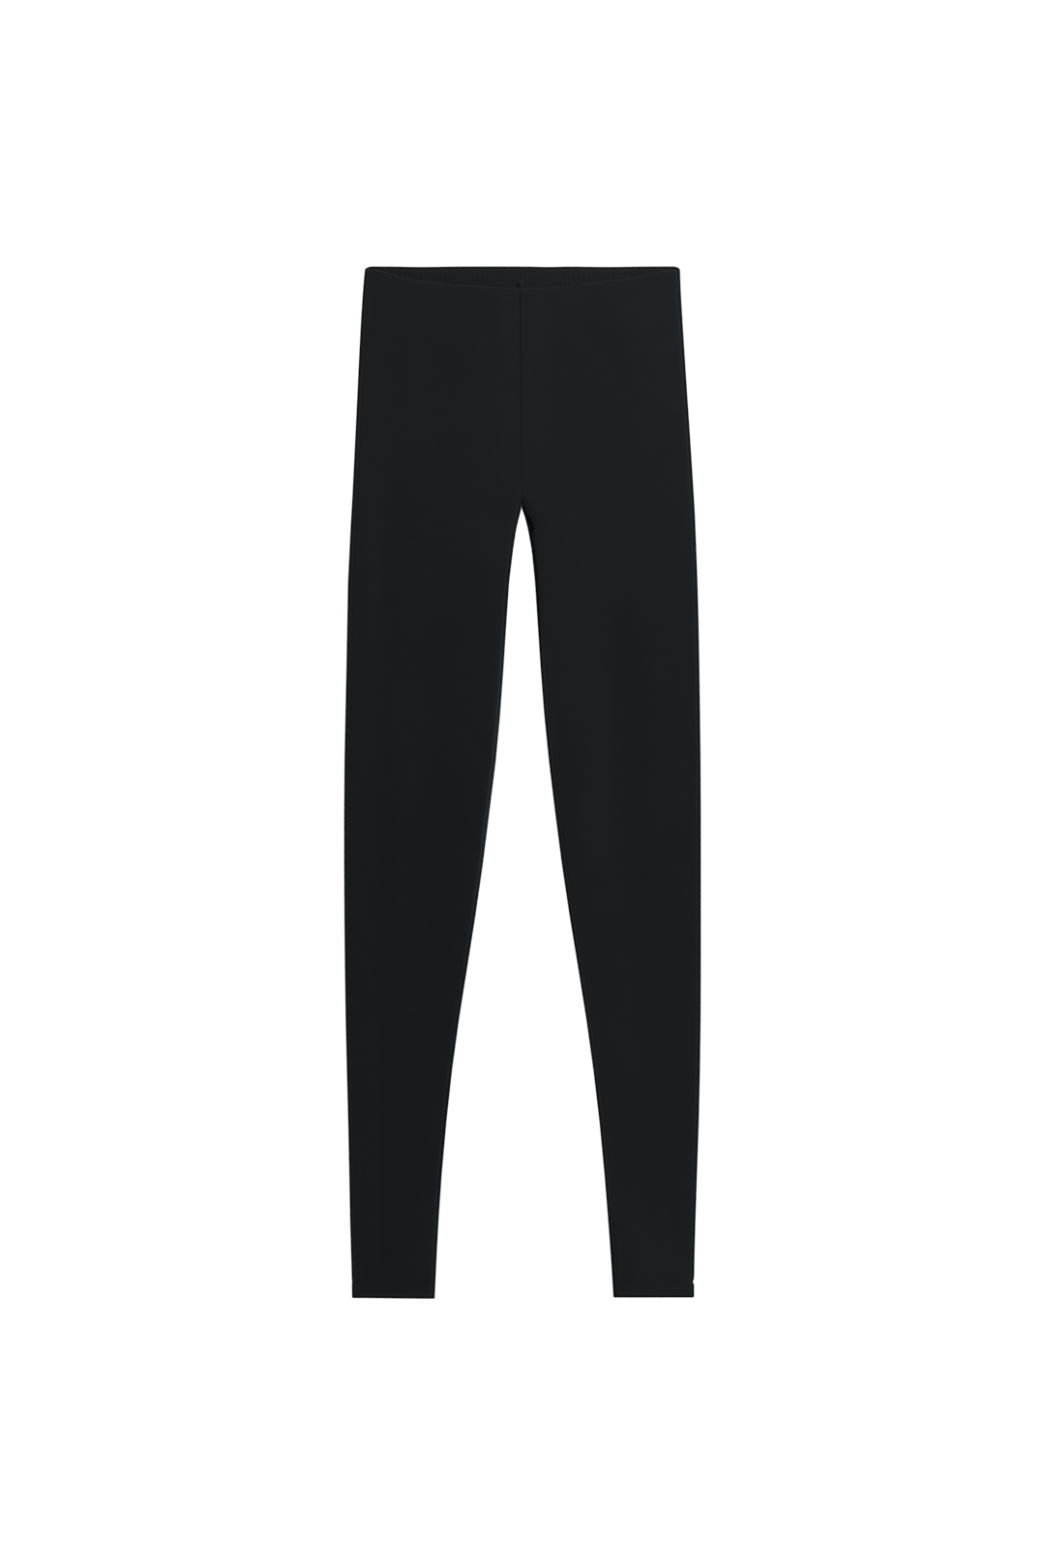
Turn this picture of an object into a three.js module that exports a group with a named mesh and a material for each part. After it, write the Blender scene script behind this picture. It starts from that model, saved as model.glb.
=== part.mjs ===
// Plain black jersey leggings, laid out flat with the front upwards.
//
// Each leg is cut as one piece, which wraps from its inseam over the front, round the outer side and back
// under to the inseam, so there is no side seam. The two leg pieces are joined by one centre seam that runs
// down the front, round the crotch and up the back. The waist is turned in over a narrow elastic, and the
// hems are turned up inside the legs.
//
// Sizes are millimetres. X runs across, towards the wearer's left leg, Y runs up towards the waist, and Z is
// the height above the surface that the leggings lie on. The origin is on it, under the middle of them.
import * as THREE from "three";

// Driving sizes
const LENGTH = 1000;
const CLOTH = 1; // wall of the jersey
const SEAM_GAP = 0.3; // between pieces that are sewn edge to edge
const PLY_GAP = 0.3; // between the jersey and what is turned in behind it
const AIR = 0.5; // between the front and the back, where they lie on each other
const CASING_DEPTH = 20;
const CASING_WALL = 1.5; // turned-in jersey with the elastic in it
const HEM_DEPTH = 18;
const STEP_DOWN = 7; // length over which the cloth comes down off the end of a turned-in edge

// The folds along the sides and the inseams are soft, so each stands up as a low loop
const FOLD_REACH = 7; // how far the rounding reaches in from the edge
const FOLD_RISE = 1.9; // how much higher the loop stands than the flat cloth
const FILLED_RISE = 0.5; // the same where a casing or a hem fills the loop
const LOOP_SPREAD = 25; // distance over which the loop dies away into the flat cloth

// The centre seam lies flat down to the crotch, where each leg closes into a tube of its own
const CROTCH_DOWN = 231;
const CROTCH_ROLL = 15; // length over which the seam edges roll down to meet under the crotch
const CROTCH_REACH = 7; // how much wider the rounding is there
const CROTCH_SPREAD = 35;

// The waist edge is cut lower in front, most at the centre, and this fall fades out down the length
const CENTRE_FALL = 20.5;
const SIDE_FALL = 2.5;
const FALL_FADE = { from: 30, to: 140 };

// The legs by the wearer's side. dip is the exponent of the curve of the front waist edge, and hemShort is
// how far the hem stops above the full length, fading out up the leg.
const LEGS = [
  { side: "right", out: -1, outer: "rightOuter", inner: "rightInner", dip: 2.25, hemShort: 0 },
  { side: "left", out: 1, outer: "leftOuter", inner: "leftInner", dip: 1.85, hemShort: 0.9 },
];
const FRONT_SHORT = 0.6; // the front cloth of a hem stops a little above the back
const HEM_FADE = { from: 840, to: 965 };

// The outline as it lies, at distances down from the waist. Above the crotch both inner edges are the
// centre seam.
const OUTLINE = [
  { down: 0, rightOuter: -152.6, rightInner: -2.8, leftInner: -2.8, leftOuter: 152.6 },
  { down: 20, rightOuter: -154.4, rightInner: -2.8, leftInner: -2.8, leftOuter: 153.3 },
  { down: 60, rightOuter: -157.0, rightInner: -2.8, leftInner: -2.8, leftOuter: 155.6 },
  { down: 120, rightOuter: -159.9, rightInner: -2.4, leftInner: -2.4, leftOuter: 159.5 },
  { down: 175, rightOuter: -162.6, rightInner: -1.9, leftInner: -1.9, leftOuter: 163.2 },
  { down: 231, rightOuter: -165.4, rightInner: -1.1, leftInner: -1.1, leftOuter: 166.7 },
  { down: 236, rightOuter: -165.7, rightInner: -1.9, leftInner: 0.3, leftOuter: 167.0 },
  { down: 242, rightOuter: -166.1, rightInner: -3.5, leftInner: 2.6, leftOuter: 167.3 },
  { down: 255, rightOuter: -166.8, rightInner: -6.6, leftInner: 5.8, leftOuter: 167.8 },
  { down: 270, rightOuter: -167.5, rightInner: -8.9, leftInner: 8.7, leftOuter: 168.4 },
  { down: 305, rightOuter: -169.2, rightInner: -13.2, leftInner: 12.4, leftOuter: 169.7 },
  { down: 360, rightOuter: -170.2, rightInner: -16.9, leftInner: 16.0, leftOuter: 171.1 },
  { down: 420, rightOuter: -171.4, rightInner: -20.9, leftInner: 20.2, leftOuter: 172.0 },
  { down: 475, rightOuter: -172.6, rightInner: -25.8, leftInner: 25.5, leftOuter: 172.7 },
  { down: 530, rightOuter: -173.0, rightInner: -32.6, leftInner: 32.1, leftOuter: 173.0 },
  { down: 590, rightOuter: -173.0, rightInner: -40.2, leftInner: 40.0, leftOuter: 173.0 },
  { down: 645, rightOuter: -172.6, rightInner: -48.4, leftInner: 48.5, leftOuter: 173.0 },
  { down: 700, rightOuter: -172.0, rightInner: -57.2, leftInner: 57.6, leftOuter: 173.0 },
  { down: 755, rightOuter: -171.0, rightInner: -65.6, leftInner: 65.9, leftOuter: 172.5 },
  { down: 815, rightOuter: -169.4, rightInner: -72.7, leftInner: 73.5, leftOuter: 171.4 },
  { down: 870, rightOuter: -168.2, rightInner: -77.9, leftInner: 79.0, leftOuter: 169.6 },
  { down: 925, rightOuter: -167.2, rightInner: -81.8, leftInner: 83.5, leftOuter: 167.8 },
  { down: 980, rightOuter: -165.6, rightInner: -84.6, leftInner: 87.4, leftOuter: 166.5 },
  { down: 1000, rightOuter: -165.3, rightInner: -85.5, leftInner: 88.6, leftOuter: 166.4 },
];

// Long soft swells where the front cloth doesn't lie quite flat: the middle of each, its half length and
// half width, how high it rises, and how many degrees it leans from the length towards +X at its top.
const SWELLS = [
  { across: -120, down: 150, halfLength: 110, halfWidth: 30, rise: 0.9, lean: 4 },
  { across: -45, down: 120, halfLength: 80, halfWidth: 26, rise: 0.7, lean: -8 },
  { across: 42, down: 165, halfLength: 95, halfWidth: 30, rise: 1.0, lean: 10 },
  { across: 118, down: 120, halfLength: 90, halfWidth: 24, rise: 0.7, lean: -5 },
  { across: -70, down: 400, halfLength: 150, halfWidth: 20, rise: 0.9, lean: 5 },
  { across: -128, down: 520, halfLength: 170, halfWidth: 20, rise: 0.7, lean: 1 },
  { across: 76, down: 430, halfLength: 170, halfWidth: 20, rise: 1.2, lean: -7 },
  { across: 132, down: 380, halfLength: 120, halfWidth: 20, rise: 0.8, lean: -2 },
  { across: -120, down: 790, halfLength: 120, halfWidth: 16, rise: 0.8, lean: 2 },
  { across: 122, down: 760, halfLength: 140, halfWidth: 17, rise: 0.9, lean: -3 },
];

// Sections down the length, as distances below the waist edge
const WAIST_ROWS = [0, 7, 14, CASING_DEPTH];
const WAIST_STEP_ROWS = [CASING_DEPTH + STEP_DOWN / 2, CASING_DEPTH + STEP_DOWN];
const SEAT_ROWS = [50, 85, 125, 165, 198];
const CROTCH_ROWS = [213, 219, 225, 231, 236, 242, 255, 275];
const LEG_ROWS = [305, 345, 390, 435, 480, 530, 580, 630, 680, 730, 780, 830, 880, 925, 955];
const HEM_TOP = LENGTH - HEM_DEPTH;
const HEM_STEP_ROWS = [HEM_TOP - STEP_DOWN, HEM_TOP - STEP_DOWN / 2];
const HEM_ROWS = [HEM_TOP, LENGTH - HEM_DEPTH / 2, LENGTH];
const PANEL_ROWS = [
  ...WAIST_ROWS,
  ...WAIST_STEP_ROWS,
  ...SEAT_ROWS,
  ...CROTCH_ROWS,
  ...LEG_ROWS,
  ...HEM_STEP_ROWS,
  ...HEM_ROWS,
];

// Places round a section: turns round the two edges in degrees, and shares of the way across the flat cloth
const SEAM_TURNS = [0, 28, 58];
const FOLD_TURNS = [90, 58, 28, 0, -28, -58, -90];
const FRONT_SHARES = [0, 0.07, 0.16, 0.28, 0.43, 0.58, 0.72, 0.84, 0.93];
const BACK_SHARES = [0.75, 0.5, 0.25, 0];

const FRONT_SEAM = SEAM_TURNS.map((turn) => ({ edge: "seam", turn, front: true }));
const FRONT_CLOTH = FRONT_SHARES.map((share) => ({ edge: "none", share, front: true }));
const OUTER_FOLD = FOLD_TURNS.map((turn) => ({ edge: "fold", turn, front: turn >= 0 }));
const BACK_CLOTH = BACK_SHARES.map((share) => ({ edge: "none", share, front: false }));
const BACK_SEAM = SEAM_TURNS.map((turn) => ({ edge: "seam", turn, front: false })).reverse();
const ROUND_LEG = [...FRONT_SEAM, ...FRONT_CLOTH, ...OUTER_FOLD, ...BACK_CLOTH, ...BACK_SEAM];

const lerp = THREE.MathUtils.lerp;
const smooth = (from, to, at) => THREE.MathUtils.smoothstep(at, from, to);
const sine = (degrees) => Math.sin(THREE.MathUtils.degToRad(degrees));
const cosine = (degrees) => Math.cos(THREE.MathUtils.degToRad(degrees));

// Slope of a column of the outline at a row. It is the harmonic mean of the slopes on both sides, or level
// where they differ in sign, so that the curve never swings past its rows.
function slopeAt(column, row) {
  const slopeBelow = (low) => {
    const high = low + 1;
    return (OUTLINE[high][column] - OUTLINE[low][column]) / (OUTLINE[high].down - OUTLINE[low].down);
  };
  const before = slopeBelow(Math.max(row - 1, 0));
  const after = slopeBelow(Math.min(row, OUTLINE.length - 2));
  return before * after > 0 ? (2 * before * after) / (before + after) : 0;
}

// Where a column of the outline lies at a distance down, on a smooth curve through its rows.
function outlineAt(column, down) {
  const above = OUTLINE.findLastIndex((row) => row.down <= down);
  const low = THREE.MathUtils.clamp(above, 0, OUTLINE.length - 2);
  const span = OUTLINE[low + 1].down - OUTLINE[low].down;
  const t = THREE.MathUtils.clamp((down - OUTLINE[low].down) / span, 0, 1);
  const rest = 1 - t;
  return (
    (1 + 2 * t) * rest ** 2 * OUTLINE[low][column] +
    t * rest ** 2 * span * slopeAt(column, low) +
    (1 + 2 * rest) * t ** 2 * OUTLINE[low + 1][column] -
    rest * t ** 2 * span * slopeAt(column, low + 1)
  );
}

// 1 where a turned-in edge lies behind the cloth, 0 clear of it
const casingAt = (below) => 1 - smooth(CASING_DEPTH, CASING_DEPTH + STEP_DOWN, below);
const hemAt = (down) => smooth(HEM_TOP - STEP_DOWN, HEM_TOP, down);

// How high the front cloth swells at a place
function swellAt(across, down) {
  return SWELLS.reduce((sum, swell) => {
    const dx = across - swell.across;
    const dy = swell.down - down;
    const along = dy * cosine(swell.lean) + dx * sine(swell.lean);
    const aside = dx * cosine(swell.lean) - dy * sine(swell.lean);
    return sum + swell.rise * Math.exp(-((along / swell.halfLength) ** 2) - (aside / swell.halfWidth) ** 2);
  }, 0);
}

// Share of the way across the leg, from its seam to its outer fold
function shareAcross(spot, width) {
  const rounding = (FOLD_REACH / width) * (1 - cosine(spot.turn ?? 0));
  if (spot.edge === "fold") return 1 - rounding;
  return spot.edge === "seam" ? rounding : spot.share;
}

// How far down a spot of a leg's section lies. below is the section's distance from the waist edge, measured
// along the cloth.
function downAt(leg, spot, below) {
  const share = shareAcross(spot, Math.abs(outlineAt(leg.outer, below) - outlineAt(leg.inner, below)));
  const frontFall = SIDE_FALL + (CENTRE_FALL - SIDE_FALL) * (1 - share ** leg.dip);
  const backFall = spot.edge === "fold" ? SIDE_FALL * (1 + sine(spot.turn)) : 0;
  const fall = (spot.front ? frontFall : backFall) * (1 - smooth(FALL_FADE.from, FALL_FADE.to, below));
  const short = (leg.hemShort + (spot.front ? FRONT_SHORT : 0)) * smooth(HEM_FADE.from, HEM_FADE.to, below);
  return below + fall - short;
}

// One point of a leg's cloth, at a depth in from the garment's outer face. slit is how far the edges of the
// piece stop short of each other at the inseam.
function clothPoint(leg, spot, below, depth, slit) {
  const down = downAt(leg, spot, below);
  const seamX = outlineAt(leg.inner, down);
  const width = Math.abs(outlineAt(leg.outer, down) - seamX) - SEAM_GAP / 2;
  const closed = smooth(CROTCH_DOWN - CROTCH_ROLL, CROTCH_DOWN + 1, down);
  const seamReach = FOLD_REACH + CROTCH_REACH * Math.exp(-(((down - CROTCH_DOWN) / CROTCH_SPREAD) ** 2));

  // Heights of the stack: the cloth lying flat, and the loops at its edges
  const casing = casingAt(down) + casingAt(below);
  const turnedIn = (PLY_GAP + CASING_WALL) * casing + 2 * (PLY_GAP + CLOTH) * hemAt(down);
  const flat = 2 * CLOTH + AIR + turnedIn;
  const rise = lerp(FOLD_RISE, FILLED_RISE, Math.max(casingAt(down), hemAt(down)));
  const middle = (flat + rise) / 2;
  const radius = middle - depth;
  const layAt = (top) => (spot.front ? top - depth : depth);

  let inFromSeam;
  let height;
  if (spot.edge === "fold") {
    inFromSeam = width - FOLD_REACH + (FOLD_REACH - depth) * cosine(spot.turn);
    height = middle + radius * sine(spot.turn);
  } else if (spot.edge === "seam") {
    const turn = Math.max(spot.turn, THREE.MathUtils.radToDeg(Math.asin(slit / 2 / radius)));
    const lying = seamReach * (1 - cosine(spot.turn));
    const rolled = seamReach - (seamReach - depth) * cosine(turn);
    inFromSeam = lerp(lying, rolled, closed);
    const rolledHeight = middle + (spot.front ? radius : -radius) * sine(turn);
    height = lerp(layAt(flat + swellAt(seamX + leg.out * lying, down)), rolledHeight, closed);
  } else {
    inFromSeam = lerp(seamReach, width - FOLD_REACH, spot.share);
    const outerLoop = 1 - smooth(0, LOOP_SPREAD, width - FOLD_REACH - inFromSeam);
    const innerLoop = closed * (1 - smooth(0, LOOP_SPREAD, inFromSeam - seamReach));
    const loop = Math.max(outerLoop, innerLoop);
    height = layAt(flat + rise * loop + swellAt(seamX + leg.out * inFromSeam, down) * (1 - loop));
  }
  return new THREE.Vector3(seamX + leg.out * (SEAM_GAP / 2 + inFromSeam), LENGTH / 2 - down, height);
}

// A closed wall between two grids of points, which hold a row for each section. ring joins the end of each
// row to its start.
function wallGeometry(outerRows, innerRows, ring) {
  const rowCount = outerRows.length;
  const columnCount = outerRows[0].length;
  const spans = ring ? columnCount : columnCount - 1;
  const points = [...outerRows.flat(), ...innerRows.flat()];
  const outer = (row, column) => row * columnCount + (column % columnCount);
  const inner = (row, column) => rowCount * columnCount + outer(row, column);
  const faces = [];
  const quad = (a, b, c, d) => faces.push(a, b, c, a, c, d);
  for (let column = 0; column < spans; column++) {
    for (let row = 0; row < rowCount - 1; row++) {
      quad(outer(row, column), outer(row, column + 1), outer(row + 1, column + 1), outer(row + 1, column));
      quad(inner(row, column), inner(row + 1, column), inner(row + 1, column + 1), inner(row, column + 1));
    }
    const end = rowCount - 1;
    quad(inner(0, column), inner(0, column + 1), outer(0, column + 1), outer(0, column));
    quad(outer(end, column), outer(end, column + 1), inner(end, column + 1), inner(end, column));
  }
  if (ring) return facingOut(points, faces);
  const last = columnCount - 1;
  for (let row = 0; row < rowCount - 1; row++) {
    quad(outer(row, 0), outer(row + 1, 0), inner(row + 1, 0), inner(row, 0));
    quad(inner(row, last), inner(row + 1, last), outer(row + 1, last), outer(row, last));
  }
  return facingOut(points, faces);
}

// The indexed geometry of a closed body, turned the right way out if its volume comes out negative.
function facingOut(points, faces) {
  let volume = 0;
  for (let i = 0; i < faces.length; i += 3) {
    const cross = new THREE.Vector3().crossVectors(points[faces[i + 1]], points[faces[i + 2]]);
    volume += points[faces[i]].dot(cross);
  }
  const geometry = new THREE.BufferGeometry().setFromPoints(points);
  geometry.setIndex(volume < 0 ? [...faces].reverse() : faces);
  geometry.computeVertexNormals();
  return geometry;
}

// Matt black jersey, and its wrong side, which is a shade lighter
const jersey = () => new THREE.MeshStandardMaterial({ color: 0x1c1e20, roughness: 0.92, metalness: 0 });
const wrongSide = () => new THREE.MeshStandardMaterial({ color: 0x202325, roughness: 0.95, metalness: 0 });

function named(name, geometry, material) {
  const mesh = new THREE.Mesh(geometry, material);
  mesh.name = name;
  return mesh;
}

// The places round a leg, taken the same way round on both legs, so that walls that nest split alike.
const roundLeg = (leg) => (leg.out < 0 ? [...ROUND_LEG] : [...ROUND_LEG].reverse());

// A grid of points on the cloth of a leg, at a depth in from its outer face
function clothRows(leg, rows, spots, depth, slit) {
  return rows.map((below) => spots.map((spot) => clothPoint(leg, spot, below, depth, slit)));
}

// A leg piece: one wall that wraps round the leg, open along its inseam.
function legPanel(leg) {
  const rowsAt = (depth) => clothRows(leg, PANEL_ROWS, roundLeg(leg), depth, SEAM_GAP);
  return named(`leg_panel_${leg.side}`, wallGeometry(rowsAt(0), rowsAt(CLOTH), false), jersey());
}

// The waist edge, turned in over its elastic: one flat ring inside both leg pieces.
function waistCasing() {
  const rowsAt = (depth) => {
    const halves = LEGS.map((leg) => clothRows(leg, WAIST_ROWS, roundLeg(leg), depth, SEAM_GAP));
    return halves[0].map((row, i) => [...row, ...halves[1][i]]);
  };
  const face = CLOTH + PLY_GAP;
  return named("waist_casing", wallGeometry(rowsAt(face), rowsAt(face + CASING_WALL), true), wrongSide());
}

// A hem, turned up inside its leg: one ring, whose ends meet at the inseam.
function hemTurnUp(leg) {
  const spots = roundLeg(leg).slice(0, -1);
  const rowsAt = (depth) => clothRows(leg, HEM_ROWS, spots, depth, 0);
  const face = CLOTH + PLY_GAP;
  const geometry = wallGeometry(rowsAt(face), rowsAt(face + CLOTH), true);
  return named(`hem_turn_up_${leg.side}`, geometry, wrongSide());
}

const group = new THREE.Group();
for (const leg of LEGS) group.add(legPanel(leg), hemTurnUp(leg));
group.add(waistCasing());

export default group;
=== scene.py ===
import math

import bpy
import numpy as np
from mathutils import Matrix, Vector


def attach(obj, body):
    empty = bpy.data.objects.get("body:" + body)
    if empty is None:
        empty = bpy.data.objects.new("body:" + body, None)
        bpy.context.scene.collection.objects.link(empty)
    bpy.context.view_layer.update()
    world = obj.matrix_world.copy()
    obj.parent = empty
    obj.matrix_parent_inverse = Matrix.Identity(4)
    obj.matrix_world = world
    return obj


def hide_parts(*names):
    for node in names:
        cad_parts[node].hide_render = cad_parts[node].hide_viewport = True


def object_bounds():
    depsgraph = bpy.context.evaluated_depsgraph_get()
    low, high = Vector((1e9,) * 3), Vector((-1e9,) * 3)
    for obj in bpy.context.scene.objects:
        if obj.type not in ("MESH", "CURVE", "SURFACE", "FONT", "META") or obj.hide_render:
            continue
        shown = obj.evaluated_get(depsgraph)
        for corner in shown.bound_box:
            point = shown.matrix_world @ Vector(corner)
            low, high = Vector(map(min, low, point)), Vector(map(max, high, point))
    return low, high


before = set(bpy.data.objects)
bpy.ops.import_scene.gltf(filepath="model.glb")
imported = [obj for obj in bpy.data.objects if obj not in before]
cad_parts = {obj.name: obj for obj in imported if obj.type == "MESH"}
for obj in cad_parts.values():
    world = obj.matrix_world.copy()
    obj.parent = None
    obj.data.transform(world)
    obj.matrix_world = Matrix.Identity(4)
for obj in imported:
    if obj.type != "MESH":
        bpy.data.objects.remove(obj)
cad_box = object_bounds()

# Leg cloth, right and left
# Each leg is one cut of fine black stretch jersey. It wraps from the inseam over the front, round the outer
# side and back under, with no side seam. The two are sewn together down the front, round the crotch and up
# the back. At the waist and the hem the cloth goes over the edge, where its turned-in part takes over.
CLOTH = 0.001
PLY_GAP = 0.0003
AIR = 0.0005
LOOSE = 0.0014  # how much more air the plain cloth holds, away from the turned-in edges
CASING_DEPTH = 0.020
CASING_WALL = 0.0015
HEM_DEPTH = 0.018
# How far the bulk of the casing and of the hem shows in the cloth beside them
CASING_FADE = 0.110
HEM_FADE_UP = 0.040
# The loop along a folded edge: how far it reaches in and how far it rises, also where an edge is filled
FOLD_REACH = 0.007
FOLD_RISE = 0.0019
FILLED_RISE = 0.0005
# How far the nap and the turned edges stand out past the plain outline
NAP = 0.0004
WAIST_REACH = 0.00107
HEM_REACH = 0.0014
# Distances down run from the waist edge. At the crotch the seam's edges roll away from each other.
CROTCH_DOWN = 0.231
CROTCH_ROLL = 0.010
CROTCH_END = 0.001
CROTCH_PARTS = 0.006
CROTCH_FADE = 0.110
CROTCH_REACH = 0.007
CROTCH_SPREAD = 0.035
# The front's waist edge falls at the centre and less at the sides, down to where that has faded out
CENTRE_FALL = 0.0205
SIDE_FALL = 0.0025
FALL_FADE = (0.030, 0.140)
FRONT_SHORT = 0.0003
HEM_FADE = (0.840, 0.965)
CAD_SEAM_GAP = 0.0003

WAIST_EDGE = (CLOTH + PLY_GAP + CASING_WALL) / 2  # half the thickness of the turned-in waist edge
HEM_EDGE = (CLOTH + PLY_GAP + CLOTH) / 2
TOP = cad_box[1].y
LENGTH = cad_box[1].y - cad_box[0].y

# The way out along X, the power by which the waist edge falls, how far the soft loop at each edge spreads in
# over the flat cloth, and how much fuller the inner one stands between the crotch and the knee. Along the
# inner edge a painted highlight is raised from rise_line to fall_line, and elsewhere it is set by
# flat_rim_light, which below 0 turns it to painted shade.
LEGS = {
    "right": {
        "out": -1,
        "dip": 2.25,
        "outer_spread": 0.032,
        "inner_spread": 0.070,
        "fuller": 0.0010,
        "flat_rim_light": 0.0,
        "rise_line": (0.330, 0.390),
        "fall_line": (0.550, 0.700),
    },
    "left": {
        "out": 1,
        "dip": 1.85,
        "outer_spread": 0.070,
        "inner_spread": 0.055,
        "fuller": 0.0,
        "flat_rim_light": -0.75,
        "rise_line": (0.290, 0.390),
        "fall_line": (0.880, 1.100),
    },
}
THIGH_FULL = (0.220, 0.300)
KNEE_FLAT = (0.440, 0.660)
# How strong the painted highlight is along the waist and hem edges
EDGE_RIM_LIGHT = 0.2

# How each hem lies: how much shorter it is, how much more so at the outer side, and how far its stitching
# notches the outer fold
HEM_LIE = {
    "right": {"short": -0.0003, "slope": 0.0007, "notch": 0.0002},
    "left": {"short": 0.0009, "slope": 0.0, "notch": 0.0011},
}
HEM_NOTCH = {"above": 0.0150, "width": 0.0020}

# The centre seam pulls the cloth in along a fine line. Its allowances lie under the left leg, which steps up
# beside the line and then sinks, while the right leg rises: how far, from where and to where in from the
# seam, and where that has faded out
SEAM_GROOVE = {"depth": 0.00018, "width": 0.0008}
SEAM_STEP_WIDTH = 0.0009
SEAM_BULK = {
    "right": {"step": 0.0, "rise": 0.0009, "from": 0.001, "to": 0.020, "gone": 0.105},
    "left": {"step": 0.00024, "rise": -0.0016, "from": 0.001, "to": 0.032, "gone": 0.130},
}
BULK_END = 0.090

# Rows of stitching, as distances in from the waist edge and from the hem, and how far they pull the cloth in
WAIST_STITCH_ROWS = (0.0150, 0.0200)
HEM_STITCH_ROWS = (0.0140, 0.0180)
WAIST_DENT = 0.00009
HEM_DENT = 0.00014
STITCH_DENT_WIDTH = 0.0007

# Long soft swells in the front cloth: the middle of each, its half length and half width, how far it rises,
# and the degrees that it leans from the length towards +X at its top
SWELLS = [
    {"across": -0.045, "down": 0.310, "length": 0.150, "width": 0.040, "rise": 0.0016, "lean": 3},
    {"across": -0.120, "down": 0.130, "length": 0.110, "width": 0.030, "rise": 0.0008, "lean": 4},
    {"across": -0.050, "down": 0.110, "length": 0.070, "width": 0.026, "rise": 0.0006, "lean": -8},
    {"across": -0.128, "down": 0.520, "length": 0.170, "width": 0.020, "rise": 0.0006, "lean": 1},
    {"across": -0.120, "down": 0.790, "length": 0.120, "width": 0.018, "rise": 0.0002, "lean": 2},
    {"across": 0.105, "down": 0.050, "length": 0.060, "width": 0.026, "rise": 0.0007, "lean": -12},
    {"across": 0.078, "down": 0.190, "length": 0.080, "width": 0.030, "rise": 0.0002, "lean": 6},
    {"across": -0.137, "down": 0.270, "length": 0.110, "width": 0.022, "rise": -0.0010, "lean": 2},
    {"across": 0.088, "down": 0.420, "length": 0.170, "width": 0.029, "rise": -0.0017, "lean": -7},
    {"across": 0.122, "down": 0.450, "length": 0.200, "width": 0.022, "rise": 0.0009, "lean": -2},
    {"across": 0.118, "down": 0.890, "length": 0.110, "width": 0.020, "rise": 0.0009, "lean": -2},
]

# Small dips of the back's waist edge, with the middle and half width of each, and slow waves of the front's
WAIST_DIPS = [(-0.096, 0.028), (0.022, 0.016), (0.086, 0.030)]
WAIST_DIP_DEPTH = 0.00052
BACK_WAIST_UP = 0.0002
WAIST_WAVES = [{"depth": 0.00035, "pace": 52, "start": 0.7}, {"depth": 0.00030, "pace": 117, "start": 2.2}]

# Painted shade for a pucker of the left leg's inner edge, just under the crotch, folded out of the light: the
# rim distance is cut there, so the painted shade of the turned edge covers it. Its table is given like a
# swell's, without a rise.
PUCKER_SHADE = {"across": 0.0080, "down": 0.2495, "length": 0.0085, "width": 0.0034, "lean": -18}

# Small drag lines at the crotch, knees, ankles and hems, given like the swells
DRAGS = [
    {"across": 0.003, "down": 0.246, "length": 0.013, "width": 0.0060, "rise": -0.0012, "lean": -14},
    {"across": -0.005, "down": 0.227, "length": 0.017, "width": 0.020, "rise": 0.0010, "lean": 0},
    {"across": -0.030, "down": 0.216, "length": 0.034, "width": 0.006, "rise": 0.00022, "lean": 62},
    {"across": 0.034, "down": 0.222, "length": 0.038, "width": 0.006, "rise": 0.00025, "lean": -58},
    {"across": -0.024, "down": 0.243, "length": 0.026, "width": 0.005, "rise": 0.00020, "lean": 38},
    {"across": 0.027, "down": 0.252, "length": 0.030, "width": 0.005, "rise": 0.00022, "lean": -34},
    {"across": -0.100, "down": 0.575, "length": 0.050, "width": 0.007, "rise": 0.00020, "lean": 78},
    {"across": 0.108, "down": 0.588, "length": 0.046, "width": 0.008, "rise": 0.00022, "lean": -80},
    {"across": -0.126, "down": 0.905, "length": 0.034, "width": 0.006, "rise": 0.00018, "lean": 74},
    {"across": 0.128, "down": 0.890, "length": 0.032, "width": 0.006, "rise": 0.00020, "lean": -70},
    {"across": 0.104, "down": 0.950, "length": 0.035, "width": 0.029, "rise": 0.0019, "lean": 0},
    {"across": 0.056, "down": 0.535, "length": 0.080, "width": 0.018, "rise": 0.0016, "lean": 6},
    {"across": -0.113, "down": 0.938, "length": 0.044, "width": 0.028, "rise": 0.0015, "lean": 0},
    {"across": 0.112, "down": 0.9855, "length": 0.005, "width": 0.0012, "rise": 0.00035, "lean": 84},
    {"across": 0.126, "down": 0.9860, "length": 0.006, "width": 0.0012, "rise": 0.00045, "lean": 94},
    {"across": -0.160, "down": 0.9840, "length": 0.003, "width": 0.0013, "rise": 0.00050, "lean": 80},
]


def smooth_step(low, high, at):
    share = np.clip((at - low) / (high - low), 0, 1)
    return share * share * (3 - 2 * share)


def blend(low, high, share):
    return low + (high - low) * share


def bell(distance, width):
    return np.exp(-((distance / width) ** 2))


STATIONS = {"from_waist": 0.004, "from_hem": 0.003, "step": 0.002}  # where the solids' outlines are read


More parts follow.
